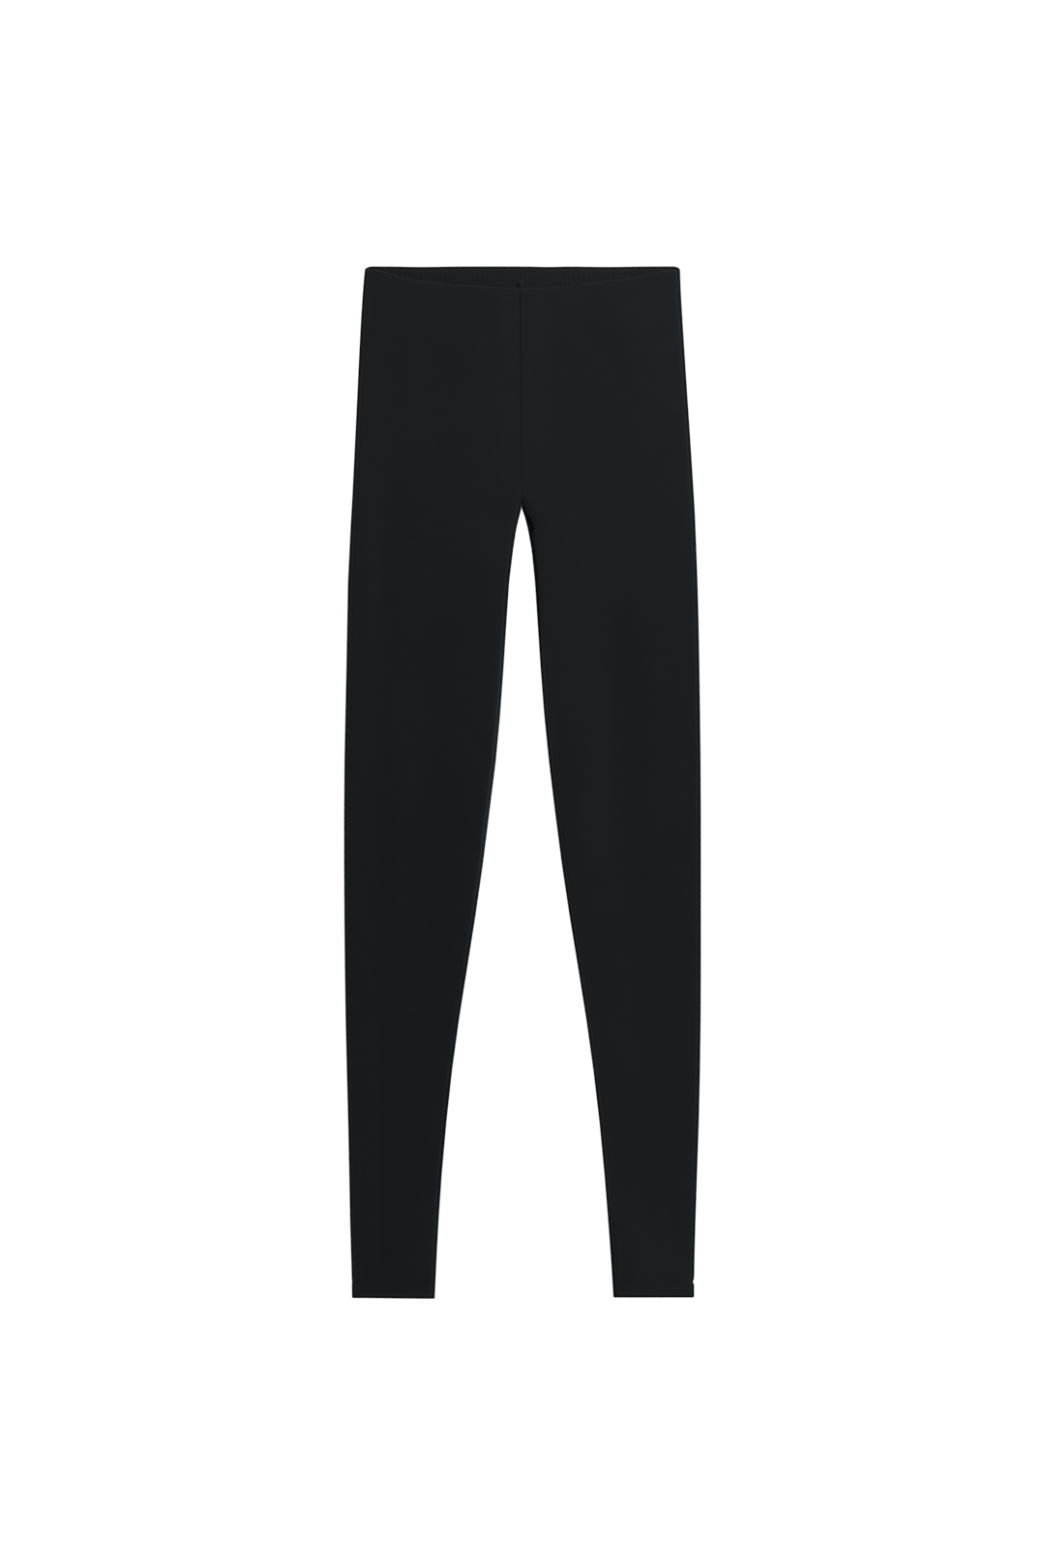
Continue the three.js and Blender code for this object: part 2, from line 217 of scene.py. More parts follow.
def edge_lines(side):
    """Where a leg's inner edge and outer fold lie across, at distances down, read from its CAD solid."""
    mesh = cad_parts[f"leg_panel_{side}"].data
    mesh.calc_loop_triangles()
    points = np.empty(len(mesh.vertices) * 3)
    mesh.vertices.foreach_get("co", points)
    corners = np.empty(len(mesh.loop_triangles) * 3, dtype=np.int32)
    mesh.loop_triangles.foreach_get("vertices", corners)
    starts = points.reshape(-1, 3)[corners.reshape(-1, 3)]
    ends = np.roll(starts, -1, axis=1)
    stations = np.arange(STATIONS["from_waist"], LENGTH - STATIONS["from_hem"], STATIONS["step"])
    lows, highs = [], []
    for down in stations:
        y = TOP - down
        crossing = (starts[..., 1] - y) * (ends[..., 1] - y) < 0
        a, b = starts[crossing], ends[crossing]
        x = a[:, 0] + (b[:, 0] - a[:, 0]) * (y - a[:, 1]) / (b[:, 1] - a[:, 1])
        lows.append(x.min())
        highs.append(x.max())
    inner, outer = (highs, lows) if LEGS[side]["out"] < 0 else (lows, highs)
    inner = np.array(inner) - LEGS[side]["out"] * CAD_SEAM_GAP / 2
    return stations, softened(inner), softened(np.array(outer))


def softened(line, rounds=3):
    """The line with the corners of its facets rounded off."""
    for _ in range(rounds):
        middle = (line[:-2] + 2 * line[1:-1] + line[2:]) / 4
        line = np.concatenate([line[:1], middle, line[-1:]])
    return line


def line_at(stations, line, down):
    """The line's place across at a distance down, carried on straight past both its ends."""
    top_slope = (line[4] - line[0]) / (stations[4] - stations[0])
    end_slope = (line[-1] - line[-5]) / (stations[-1] - stations[-5])
    inside = np.interp(down, stations, line)
    above = np.minimum(down - stations[0], 0) * top_slope
    past = np.maximum(down - stations[-1], 0) * end_slope
    return inside + above + past


for side, leg in LEGS.items():
    leg["stations"], leg["inner"], leg["outer"] = edge_lines(side)
seam_line = (LEGS["right"]["inner"] + LEGS["left"]["inner"]) / 2
for leg in LEGS.values():
    apart = smooth_step(CROTCH_DOWN, CROTCH_DOWN + CROTCH_PARTS, leg["stations"])
    leg["inner"] = blend(seam_line, leg["inner"] - leg["out"] * NAP, apart)
    leg["outer"] = leg["outer"] + leg["out"] * NAP


def round_leg(front_count, back_count, fold_step, seam_turns):
    """The places round a leg, from the front edge of its cut round the outer fold to the back edge. edge is
    0 on flat cloth, 1 on the outer fold and 2 at the seam. turn is in radians round the rounded edges."""
    seam = np.radians(seam_turns)
    fold = np.radians(np.arange(90, -91, -fold_step))
    front = np.arange(front_count) / front_count
    back = np.arange(back_count - 1, -1, -1) / back_count
    edge = [0 * seam + 2, 0 * front, 0 * fold + 1, 0 * back, 0 * seam + 2]
    turn = [seam, 0 * front, fold, 0 * back, seam[::-1]]
    share = [0 * seam, front, 0 * fold, back, 0 * seam]
    is_front = [0 * seam + 1, 0 * front + 1, fold >= 0, 0 * back, 0 * seam]
    return {
        "edge": np.concatenate(edge),
        "turn": np.concatenate(turn),
        "share": np.concatenate(share),
        "front": np.concatenate(is_front) > 0.5,
    }


def long_bell(mark, across, down):
    """1 at the middle of a long mark, and less away from it."""
    lean = math.radians(mark["lean"])
    dx, dy = across - mark["across"], mark["down"] - down
    along = dy * math.cos(lean) + dx * math.sin(lean)
    aside = dx * math.cos(lean) - dy * math.sin(lean)
    return bell(along, mark["length"]) * bell(aside, mark["width"])


def crease_rise(creases, across, down):
    return sum(crease["rise"] * long_bell(crease, across, down) for crease in creases)


def waist_wave(across, front):
    """The waist edge isn't quite straight: how far it dips at a place across."""
    back_wave = sum(WAIST_DIP_DEPTH * bell(across - middle, width) for middle, width in WAIST_DIPS)
    front_wave = sum(wave["depth"] * np.sin(across * wave["pace"] + wave["start"]) for wave in WAIST_WAVES)
    return np.where(front, front_wave, back_wave - BACK_WAIST_UP)


def cloth_places(side, columns, below, depth, relief=True):
    """Points on a leg's cloth. below, one for each row, is the distance from the waist edge along the cloth,
    and depth the distance in from the garment's outer face. relief presses the sewing into that face."""
    leg = LEGS[side]
    out = leg["out"]
    below = below[:, None] if below.ndim == 1 else below
    depth = depth[:, None] if depth.ndim == 1 else depth
    edge, turn, front = columns["edge"], columns["turn"], columns["front"]
    fold, seam = edge == 1, edge == 2

    # How far down each point lies
    girth = np.abs(line_at(leg["stations"], leg["outer"] - leg["inner"], below))
    rounding = FOLD_REACH / girth * (1 - np.cos(turn))
    share = np.where(fold, 1 - rounding, np.where(seam, rounding, columns["share"]))
    front_fall = SIDE_FALL + (CENTRE_FALL - SIDE_FALL) * (1 - share ** leg["dip"])
    back_fall = np.where(fold, SIDE_FALL * (1 + np.sin(turn)), 0)
    fall = np.where(front, front_fall, back_fall) + waist_wave(out * share * girth, front)
    lie = HEM_LIE[side]
    short = lie["short"] + lie["slope"] * share + np.where(front, FRONT_SHORT, 0)
    down = below + fall * (1 - smooth_step(*FALL_FADE, below)) - short * smooth_step(*HEM_FADE, below)
    down = down + blend(-WAIST_REACH, HEM_REACH, below / LENGTH)

    seam_x = line_at(leg["stations"], leg["inner"], down)
    width = np.abs(line_at(leg["stations"], leg["outer"], down) - seam_x)
    width = width - lie["notch"] * bell(LENGTH - HEM_NOTCH["above"] - down, HEM_NOTCH["width"])
    closed = smooth_step(CROTCH_DOWN - CROTCH_ROLL, CROTCH_DOWN + CROTCH_END, down)
    seam_reach = FOLD_REACH + CROTCH_REACH * bell(down - CROTCH_DOWN, CROTCH_SPREAD)

    # Heights of the stack: the cloth lying flat, and the loops that stand up along its edges
    casing_behind = 1 - smooth_step(CASING_DEPTH, CASING_DEPTH + CASING_FADE, down)
    casing_below = 1 - smooth_step(CASING_DEPTH, CASING_DEPTH + CASING_FADE, below)
    hem = smooth_step(LENGTH - HEM_DEPTH - HEM_FADE_UP, LENGTH - HEM_DEPTH, down)
    turned_in = (PLY_GAP + CASING_WALL) * (casing_behind + casing_below) + 2 * (PLY_GAP + CLOTH) * hem
    loose = LOOSE * (1 - np.maximum(np.maximum(casing_behind, casing_below), hem))
    flat = 2 * CLOTH + AIR + loose + turned_in
    rise = blend(FOLD_RISE, FILLED_RISE, np.maximum(casing_behind, hem))
    parted = smooth_step(CROTCH_DOWN - CROTCH_ROLL, CROTCH_DOWN + CROTCH_FADE, down)
    fuller = leg["fuller"] * smooth_step(*THIGH_FULL, down) * (1 - smooth_step(*KNEE_FLAT, down))
    inner_rise = blend(FILLED_RISE, rise + fuller, parted)
    middle = (flat + np.where(seam, inner_rise, rise)) / 2

    # What the sewing does to the outer face
    lying = seam_reach * (1 - np.cos(turn))
    from_seam = np.where(seam, blend(lying, middle * turn, closed), FOLD_REACH)
    bare = depth
    if relief:
        outer_face = np.clip(1 - depth / CLOTH, 0, 1)
        dent = WAIST_DENT * sum(bell(below - row, STITCH_DENT_WIDTH) for row in WAIST_STITCH_ROWS)
        dent = dent + HEM_DENT * sum(bell(LENGTH - below - row, STITCH_DENT_WIDTH) for row in HEM_STITCH_ROWS)
        groove = SEAM_GROOVE["depth"] * bell(from_seam, SEAM_GROOVE["width"])
        depth = depth + outer_face * np.maximum(groove * (1 - closed), dent)
    radius = middle - depth

    # Flat cloth between the edges
    across = np.where(seam, lying, blend(seam_reach, width - FOLD_REACH, share))
    outer_loop = 1 - smooth_step(0, leg["outer_spread"], width - FOLD_REACH - across)
    inner_loop = closed * (1 - smooth_step(0, leg["inner_spread"], across - seam_reach))
    loop = np.maximum(rise * outer_loop, inner_rise * inner_loop)
    free = 1 - np.maximum(outer_loop, np.where(seam, closed, inner_loop))
    bulk = SEAM_BULK[side]
    faded = 1 - smooth_step(bulk["to"], bulk["gone"], across)
    ended = 1 - smooth_step(CROTCH_DOWN - BULK_END, CROTCH_DOWN, down)
    beside = bulk["step"] * smooth_step(0, SEAM_STEP_WIDTH, across)
    beside = (beside + bulk["rise"] * smooth_step(bulk["from"], bulk["to"], across)) * faded * ended
    place = seam_x + out * across
    drag = crease_rise(DRAGS, place, down)
    top = flat + np.where(seam, 0, loop) + crease_rise(SWELLS, place, down) * free + drag + beside
    lay = np.where(front, top - depth, depth)

    # Rounded edges: the outer fold, and the seam edge where it rolls over to meet the other one
    rolled_in = seam_reach - (seam_reach - bare) * np.cos(turn)
    rolled_height = middle + np.where(front, radius + drag, -radius) * np.sin(turn)
    folded_in = width - FOLD_REACH + (FOLD_REACH - depth) * np.cos(turn)
    in_from_seam = np.where(fold, folded_in, np.where(seam, blend(across, rolled_in, closed), across))
    at_seam = np.where(seam, blend(lay, rolled_height, closed), lay)
    height = np.where(fold, middle + radius * np.sin(turn), at_seam)
    x = seam_x + out * in_from_seam
    return np.stack([x, TOP - down, height + 0 * x], axis=-1)


SHARP_EDGE = math.radians(50)


def swept_body(name, points, ring, grain, flat_down):
    """A closed body swept from a grid of points. Each column is a closed profile of the wall, and ring joins
    the last column to the first. grain and flat_down are a point's place across and down the flat cut."""
    rows, columns = points.shape[:2]
    r, c = np.meshgrid(np.arange(rows), np.arange(columns if ring else columns - 1), indexing="ij")
    r, c = r.ravel(), c.ravel()
    next_r, next_c = (r + 1) % rows, (c + 1) % columns
    near, far = r * columns, next_r * columns
    quads = np.stack([near + c, far + c, far + next_c, near + next_c], 1)
    step = np.linalg.norm(points[:, 0] - points[:, -1], axis=1) if ring else 0
    grain = np.column_stack([grain, grain[:, -1] + step])
    flat_down = np.append(flat_down, flat_down[-1])
    u = np.stack([grain[r, c], grain[next_r, c], grain[next_r, c + 1], grain[r, c + 1]], 1)
    v = np.stack([flat_down[r], flat_down[r + 1], flat_down[r + 1], flat_down[r]], 1)
    if not ring:
        k = np.arange(rows // 2 - 1)
        for column, turned in ((0, False), (columns - 1, True)):
            cap = np.stack([k, rows - 1 - k, rows - 2 - k, k + 1], 1)
            cap = cap[:, ::-1] if turned else cap
            quads = np.concatenate([quads, cap * columns + column])
            u = np.concatenate([u, grain[cap, column]])
            v = np.concatenate([v, flat_down[cap]])
    place = points.reshape(-1, 3)
    a, b, d = place[quads[:, 0]], place[quads[:, 1]], place[quads[:, 2]]
    e = place[quads[:, 3]]
    volume = np.einsum("ij,ij->", a, np.cross(b, d)) + np.einsum("ij,ij->", a, np.cross(d, e))
    if volume < 0:
        quads, u, v = quads[:, ::-1], u[:, ::-1], v[:, ::-1]
    mesh = bpy.data.meshes.new(name)
    mesh.from_pydata(place.tolist(), [], quads.tolist())
    layer = mesh.uv_layers.new(name="flat_cut")
    layer.data.foreach_set("uv", np.stack([u.ravel(), v.ravel()], 1).ravel())
    mesh.shade_smooth()
    mesh.set_sharp_from_angle(angle=SHARP_EDGE)
    piece = bpy.data.objects.new(name, mesh)
    bpy.context.scene.collection.objects.link(piece)
    return piece


# The front's waist edge counts as this far in from the outline, growing at this pace, so it gets part of the
# painted highlight line and none of the painted shade
FRONT_WAIST_RIM = {"start": 0.0037, "pace": 1.2}
RIM_REACH = 0.040
MILLIMETRES = 1000


def rims(points, side, front):
    """How far in from the outline each point lies, in millimetres, and how strong the painted highlight along
    that rim is; where it is low it gives painted shade. A front waist edge lies on cloth, so it gets no
    painted shade of its own and starts further in."""
    leg = LEGS[side]
    down = TOP - points[..., 1]
    from_outer = np.abs(points[..., 0] - line_at(leg["stations"], leg["outer"], down))
    from_inner = np.abs(points[..., 0] - line_at(leg["stations"], leg["inner"], down))
    from_inner = np.where(down > CROTCH_DOWN, from_inner, 1)
    from_hem = down.max(axis=0, keepdims=True) - down
    from_waist = down - down.min(axis=0, keepdims=True)
    further_in = FRONT_WAIST_RIM["start"] + FRONT_WAIST_RIM["pace"] * from_waist
    from_waist = np.where(front, further_in, from_waist)
    ways = np.stack([from_outer, from_inner, from_hem, from_waist])
    # Painted highlight along the inner edge: full from rise_line to fall_line, set by flat_rim_light
    # elsewhere
    rim_lit = smooth_step(*leg["rise_line"], down) * (1 - smooth_step(*leg["fall_line"], down))
    inner_rim_light = blend(leg["flat_rim_light"], 1, rim_lit)
    # The right leg's outer edge faces away from the key light and gets the full painted highlight; the left
    # leg's gets none
    outer_rim_light = 0 * down + (leg["out"] < 0)
    nearest = ways.argmin(axis=0)[None]
    rim_lights = np.stack([outer_rim_light, inner_rim_light, 0 * down + EDGE_RIM_LIGHT, 0 * down + EDGE_RIM_LIGHT])
    # Painted shade: in the pucker the rim distance is cut, so the turned edge's painted shade spreads over it
    pucker_shade_scale = np.where(front, 1 - long_bell(PUCKER_SHADE, points[..., 0], down), 1)
    rim = np.minimum(ways.min(axis=0), RIM_REACH) * MILLIMETRES * pucker_shade_scale
    return {"rim": rim, "rim_light_and_shade": np.take_along_axis(rim_lights, nearest, axis=0)[0]}


def mark(piece, marks):
    """Stores named numbers, one for each point, for the material."""
    for name, numbers in marks.items():
        layer = piece.data.attributes.new(name, "FLOAT", "POINT")
        layer.data.foreach_set("value", numbers.ravel().astype(np.float32))


def from_fold(points, columns):
    """How far round the cloth each point lies from the middle of the outer fold."""
    steps = np.linalg.norm(np.diff(points, axis=1), axis=2)
    along = np.concatenate([np.zeros((len(points), 1)), np.cumsum(steps, axis=1)], axis=1)
    fold = int(np.argmin(np.where(columns["edge"] == 1, np.abs(columns["turn"]), np.inf)))
    return along - along[:, fold : fold + 1]


def quarter_round(edge, radius, steps):
    """(below, depth) of points from the crown of a turned edge, which is edge thick on each side of its
    middle, round to where the cloth runs on. Negative radii turn to the inner side."""
    angles = np.radians(np.linspace(90, 0, steps))
    return edge - abs(radius) * np.sin(angles), edge - radius * np.cos(angles)


class Value:
    """A number in a material's nodes. Sums on it add their Math nodes."""

    def __init__(self, finish, socket):
        self.finish = finish
        self.socket = socket

    def sum(self, operation, *others):
        numbers = [self, *others]
        node = self.finish.add("Math", {"operation": operation}, dict(enumerate(numbers)))
        return Value(self.finish, node.outputs[0])

    def __add__(self, other):
        return self.sum("ADD", other)

    __radd__ = __add__

    def __mul__(self, other):
        return self.sum("MULTIPLY", other)

    __rmul__ = __mul__

    def __sub__(self, other):
        return self.sum("SUBTRACT", other)

    def __rsub__(self, other):
        return (self * -1) + other

    def __truediv__(self, other):
        return self.sum("DIVIDE", other)

    def part(self):
        return self.sum("FRACT")

    def size(self):
        return self.sum("ABSOLUTE")

    def wave(self):
        return self.sum("SINE")

    def over(self, low, high):
        """0 under low, 1 over high and straight between."""
        sockets = {"Value": self, "From Min": low, "From Max": high}
        node = self.finish.add("MapRange", {"clamp": True}, sockets)
        return Value(self.finish, node.outputs["Result"])


class Finish:
    """A material that is built up node by node."""

    def __init__(self, name):
        self.material = bpy.data.materials.new(name)
        self.material.use_nodes = True
        self.tree = self.material.node_tree
        self.tree.nodes.clear()

    def add(self, kind, settings, sockets):
        node = self.tree.nodes.new(f"ShaderNode{kind}")
        for key, value in settings.items():
            setattr(node, key, value)
        for key, value in sockets.items():
            if isinstance(value, Value):
                value = value.socket
            if isinstance(value, bpy.types.NodeSocket):
                self.tree.links.new(value, node.inputs[key])
            else:
                node.inputs[key].default_value = value
        return node

    def number(self, kind, settings, sockets, output):
        return Value(self, self.add(kind, settings, sockets).outputs[output])

    def mixed(self, share, low, high):
        """A colour between two others, by its share of the second."""
        sockets = {"Factor": share, 6: (*low, 1), 7: (*high, 1)}
        return self.add("Mix", {"data_type": "RGBA"}, sockets).outputs[2]

    def scaled(self, colour, level):
        """A colour made lighter or darker by a level."""
        node = self.add("VectorMath", {"operation": "SCALE"}, {0: colour, "Scale": level})
        return node.outputs["Vector"]


# Jersey: a fine knit with its wales along the leg, matt black, with a short soft nap. Its tone varies in wide
# clouds, small patches, yarns, loops and lint, by the shares given.
WALE = 0.00072
COURSE = 0.00056
SLANT = {"right_side": 0.55, "wrong_side": 0.22}
CLOUDS = {"Scale": 11.0, "Detail": 3.0}
PATCHES = {"Scale": 70.0, "Detail": 2.0}
YARN = {"Scale": 1100.0, "Detail": 2.0}
LINT = {"scale": 42.0, "from": 0.03, "to": 0.09}
TONE_SHARES = {"clouds": 0.4, "patches": 0.25, "yarn": 0.2, "loops": 0.15, "lint": 0.5}
KNIT_RELIEF = {"strength": 0.35, "distance": 0.00012, "yarn": 0.5}
JERSEY_DARK = (0.0078, 0.0089, 0.0100)
JERSEY_LIGHT = (0.0104, 0.0119, 0.0134)
# Painted light and shade along the rims, in millimetres in from the outline: painted shade darkens the turned
# edge, then comes a narrow painted highlight line, and then a wide faint one. Where the painted rim light is
# raised, the line is lighter and further out.
RIM_SHADE = {"from": 1.4, "to": 2.5, "level": 0.20, "flat": 0.5}
RIM_HIGHLIGHT_LINE = {"from": 3.3, "to": 4.7, "gain": 0.24, "lit_gain": 0.56}
RIM_HIGHLIGHT_BAND = {"to": 13.0, "gain": 0.04, "lit_gain": 0.11}


def jersey_finish(name, dark, light, right_side):
    finish = Finish(name)
    flat_cut = finish.add("UVMap", {"uv_map": "flat_cut"}, {}).outputs["UV"]
    split = finish.add("SeparateXYZ", {}, {"Vector": flat_cut})
    across, down = Value(finish, split.outputs["X"]), Value(finish, split.outputs["Y"])
    place = finish.add("TexCoord", {}, {}).outputs["Object"]

    # Knit: on the right side each wale is a column of slanted pairs, on the wrong side rows of arcs show
    in_wale = ((across / WALE).part() * 2 - 1).size()
    slant = SLANT["right_side"] if right_side else SLANT["wrong_side"]
    in_course = (down / COURSE + in_wale * slant).part()
    loops = (in_course * math.pi).wave() * (in_wale * math.pi).wave().over(0, 0.8)
    clouds = finish.number("TexNoise", {}, {"Vector": place, **CLOUDS}, "Fac")
    yarn = finish.number("TexNoise", {}, {"Vector": place, **YARN}, "Fac")
    rim = finish.number("Attribute", {"attribute_name": "rim"}, {}, "Fac")
    patches = finish.number("TexNoise", {}, {"Vector": place, **PATCHES}, "Fac")
    specks = finish.number("TexVoronoi", {}, {"Vector": place, "Scale": LINT["scale"]}, "Distance")
    lint = 1 - specks.over(LINT["from"], LINT["to"])

    shares = TONE_SHARES
    shade = clouds.over(0.3, 0.7) * shares["clouds"] + patches.over(0.35, 0.65) * shares["patches"]
    shade = shade + yarn.over(0.25, 0.75) * shares["yarn"] + loops * shares["loops"] - lint * shares["lint"]
    cloth = finish.mixed(shade.over(-0.5, 1), dark, light)
    rim_light_and_shade = finish.number("Attribute", {"attribute_name": "rim_light_and_shade"}, {}, "Fac")
    # Painted shade over the turned edge, reaching further in where the painted rim light is low
    turned = (rim + (rim_light_and_shade - 1) * RIM_SHADE["flat"]).over(RIM_SHADE["from"], RIM_SHADE["to"])
    # Painted highlight: a narrow line and a wide faint band inside the rims
    line = (1 - rim.over(RIM_HIGHLIGHT_LINE["from"], RIM_HIGHLIGHT_LINE["to"])) * (rim_light_and_shade * RIM_HIGHLIGHT_LINE["lit_gain"] + RIM_HIGHLIGHT_LINE["gain"])
    band = (1 - rim.over(RIM_HIGHLIGHT_LINE["to"], RIM_HIGHLIGHT_BAND["to"])) * (rim_light_and_shade * RIM_HIGHLIGHT_BAND["lit_gain"] + RIM_HIGHLIGHT_BAND["gain"])
    # The cloth's colour is scaled by this painted rim highlight and shade
    level = (line + band + 1) * (turned * (1 - RIM_SHADE["level"]) + RIM_SHADE["level"])
    colour = finish.scaled(cloth, level)
    height = loops + yarn * KNIT_RELIEF["yarn"]
    relief = {"Strength": KNIT_RELIEF["strength"], "Distance": KNIT_RELIEF["distance"], "Height": height}
    bump = finish.add("Bump", {}, relief)
    surface = finish.add(
        "BsdfPrincipled",
        {},
        {
            "Base Color": colour,
            "Roughness": 0.9,
            "Specular IOR Level": 0.06,
            "Sheen Weight": 0.02,
            "Sheen Roughness": 0.5,
            "Sheen Tint": (0.86, 0.94, 1.0, 1),
            "Normal": bump.outputs["Normal"],
        },
    )
    finish.add("OutputMaterial", {}, {"Surface": surface.outputs["BSDF"]})
    return finish.material


jersey = jersey_finish("black_jersey", JERSEY_DARK, JERSEY_LIGHT, True)

LEG_SEAM_TURNS = [0, 4, 8, 12, 17, 23, 31, 41, 53, 66, 78]
leg_columns = round_leg(front_count=30, back_count=16, fold_step=7.5, seam_turns=LEG_SEAM_TURNS)
LEG_ROW_STRETCHES = [
    {"start": 0.0022, "end": 0.026, "step": 0.0009},
    {"start": 0.028, "end": 0.216, "step": 0.004},
    {"start": 0.218, "end": 0.262, "step": 0.0015},
    {"start": 0.266, "end": 0.970, "step": 0.004},
    {"start": 0.973, "end": 0.9975, "step": 0.0009},
]
long_rows = np.concatenate([np.arange(s["start"], s["end"], s["step"]) for s in LEG_ROW_STRETCHES])
CROWN_STEPS = 6
waist_out = quarter_round(WAIST_EDGE, WAIST_EDGE, CROWN_STEPS)
waist_in = quarter_round(WAIST_EDGE, WAIST_EDGE - CLOTH, CROWN_STEPS)
hem_out = quarter_round(HEM_EDGE, HEM_EDGE, CROWN_STEPS)
hem_in = quarter_round(HEM_EDGE, HEM_EDGE - CLOTH, CROWN_STEPS)
outer_below = np.concatenate([waist_out[0], long_rows, LENGTH - hem_out[0][::-1]])
outer_depth = np.concatenate([waist_out[1], 0 * long_rows, hem_out[1][::-1]])
inner_below = np.concatenate([waist_in[0], long_rows, LENGTH - hem_in[0][::-1]])
inner_depth = np.concatenate([waist_in[1], 0 * long_rows + CLOTH, hem_in[1][::-1]])
profile_below = np.concatenate([outer_below, inner_below[::-1]])
profile_depth = np.concatenate([outer_depth, inner_depth[::-1]])

for side in LEGS:
    points = cloth_places(side, leg_columns, profile_below, profile_depth)
    cloth = swept_body(f"leg_cloth_{side}", points, False, from_fold(points, leg_columns), profile_below)
    cloth.data.materials.append(jersey)
    mark(cloth, rims(points, side, leg_columns["front"]))
    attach(cloth, "root")
    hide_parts(f"leg_panel_{side}")
    # The flat cut is as wide as the leg is round at its widest, and its area is that of the wall's middle
    area = sum(face.area for face in cloth.data.polygons) / 2

# Waist casing
# The top edge of both legs, turned in over a narrow elastic and caught down with a flat stitch. The wrong
# side of the jersey shows, drawn into small uneven ripples by the elastic. It meets the leg cloth at the
# crown of the waist edge.
# The ripples wander along the elastic and change in strength, in waves of so many radians to the metre
RIPPLES = {"depth": 0.00016, "length": 0.0048, "start": 0.4, "from": 0.002, "to": 0.007}
RIPPLE_WANDER = [{"by": 1.3, "pace": 61, "start": 0}, {"by": 0.9, "pace": 143, "start": 1}]
RIPPLE_STRENGTH = {"middle": 0.55, "by": 0.45, "pace": 47, "start": 2.1, "slow_pace": 19}
SEAM_KNOT = {"rise": 0.0015, "width": 0.0020, "down": 0.0137, "reach": 0.0020}
INSIDE_GROOVE = 0.00010
DEEPER = {"share": 0.22, "reach": 0.060, "from": 0.006, "to": 0.012}
INSIDE_DARK = (0.0080, 0.0091, 0.0103)
INSIDE_LIGHT = (0.0106, 0.0121, 0.0137)
# Rows of points: the first and the step of those that show, and where those behind them lie
CASING_ROWS = {
    "start": 0.0024,
    "step": 0.0011,
    "hidden": (0.012, 0.005, 0.0022),
    "lip": 0.0008,
    "last": 0.0004,
}
RAW_EDGE = 0.0004

CASING_SEAM_TURNS = [0, 3, 6, 9, 12, 16, 20, 25, 30, 36, 43, 50, 58, 66, 74, 82]
casing_columns = round_leg(front_count=150, back_count=150, fold_step=9, seam_turns=CASING_SEAM_TURNS)
inside_depth = CLOTH + PLY_GAP + CASING_WALL
hidden_depth = CLOTH + PLY_GAP


def turned_in(edge, deep, face, rows):
    """(below, depth) of points round a turned-in edge: over its crown, along the face that shows, round its
    raw edge and back behind."""
    crown = quarter_round(edge, -edge, CROWN_STEPS)
    shown = np.arange(rows["start"], deep - RAW_EDGE, rows["step"])
    hidden = np.array([deep - RAW_EDGE, *rows["hidden"]])
    below = [crown[0], shown, [deep], hidden, [edge - rows["last"]]]
    depth = [crown[1], 0 * shown + face, [hidden_depth + rows["lip"]], 0 * hidden + hidden_depth, [edge]]
    return np.concatenate(below), np.concatenate(depth)


casing_below, casing_depth = turned_in(WAIST_EDGE, CASING_DEPTH, inside_depth, CASING_ROWS)


def casing_half(side, below, depth):
    """One leg's half of the casing, with the ripples and the bulk of the seam pressed into its inner face. It
    is a little deeper at the centre back."""
    flat = cloth_places(side, casing_columns, below, depth, relief=False)
    round_it = np.abs(from_fold(flat, casing_columns)) * LEGS[side]["out"] + RIPPLES["start"]
    wander = sum(wave["by"] * np.sin(round_it * wave["pace"] + wave["start"]) for wave in RIPPLE_WANDER)
    change = RIPPLE_STRENGTH["by"] * np.sin(round_it * RIPPLE_STRENGTH["pace"] + RIPPLE_STRENGTH["start"])
    strength = RIPPLE_STRENGTH["middle"] + change * np.sin(round_it * RIPPLE_STRENGTH["slow_pace"])
    ripple = RIPPLES["depth"] * strength * np.sin(round_it * 2 * math.pi / RIPPLES["length"] + wander)
    below, depth = below[:, None], depth[:, None]
    inner_face = np.clip((depth - hidden_depth) / CASING_WALL, 0, 1)
    held = smooth_step(RIPPLES["from"], RIPPLES["to"], below)
    from_seam = np.abs(flat[..., 0] - flat[..., :1, 0])
    knot = SEAM_KNOT["rise"] * bell(from_seam, SEAM_KNOT["width"])
    knot = knot * bell(below - SEAM_KNOT["down"], SEAM_KNOT["reach"])
    knot = np.where(casing_columns["front"], 0, knot)
    groove = INSIDE_GROOVE * bell(from_seam, SEAM_GROOVE["width"])
    deeper = DEEPER["share"] * bell(from_seam, DEEPER["reach"])
    deeper = deeper * smooth_step(DEEPER["from"], DEEPER["to"], below)
    below = below * (1 + np.where(casing_columns["front"], 0, deeper))
    depth = depth + inner_face * (ripple * held + knot - groove)
    return cloth_places(side, casing_columns, below, depth, relief=False)


def round_waist(make):
    """What make gives for both legs, as one ring round the waist."""
    return np.concatenate([make("right"), make("left")[:, ::-1]], axis=1)


casing_points = round_waist(lambda side: casing_half(side, casing_below, casing_depth))
half = casing_points.shape[1] // 2
halves = {"right": casing_points[:, :half], "left": casing_points[:, half:][:, ::-1]}


def casing_across(side):
    """Where the points of a leg's half lie across the flat cut."""
    out = LEGS[side]["out"]
    return (out > 0) - out * from_fold(halves[side], casing_columns)


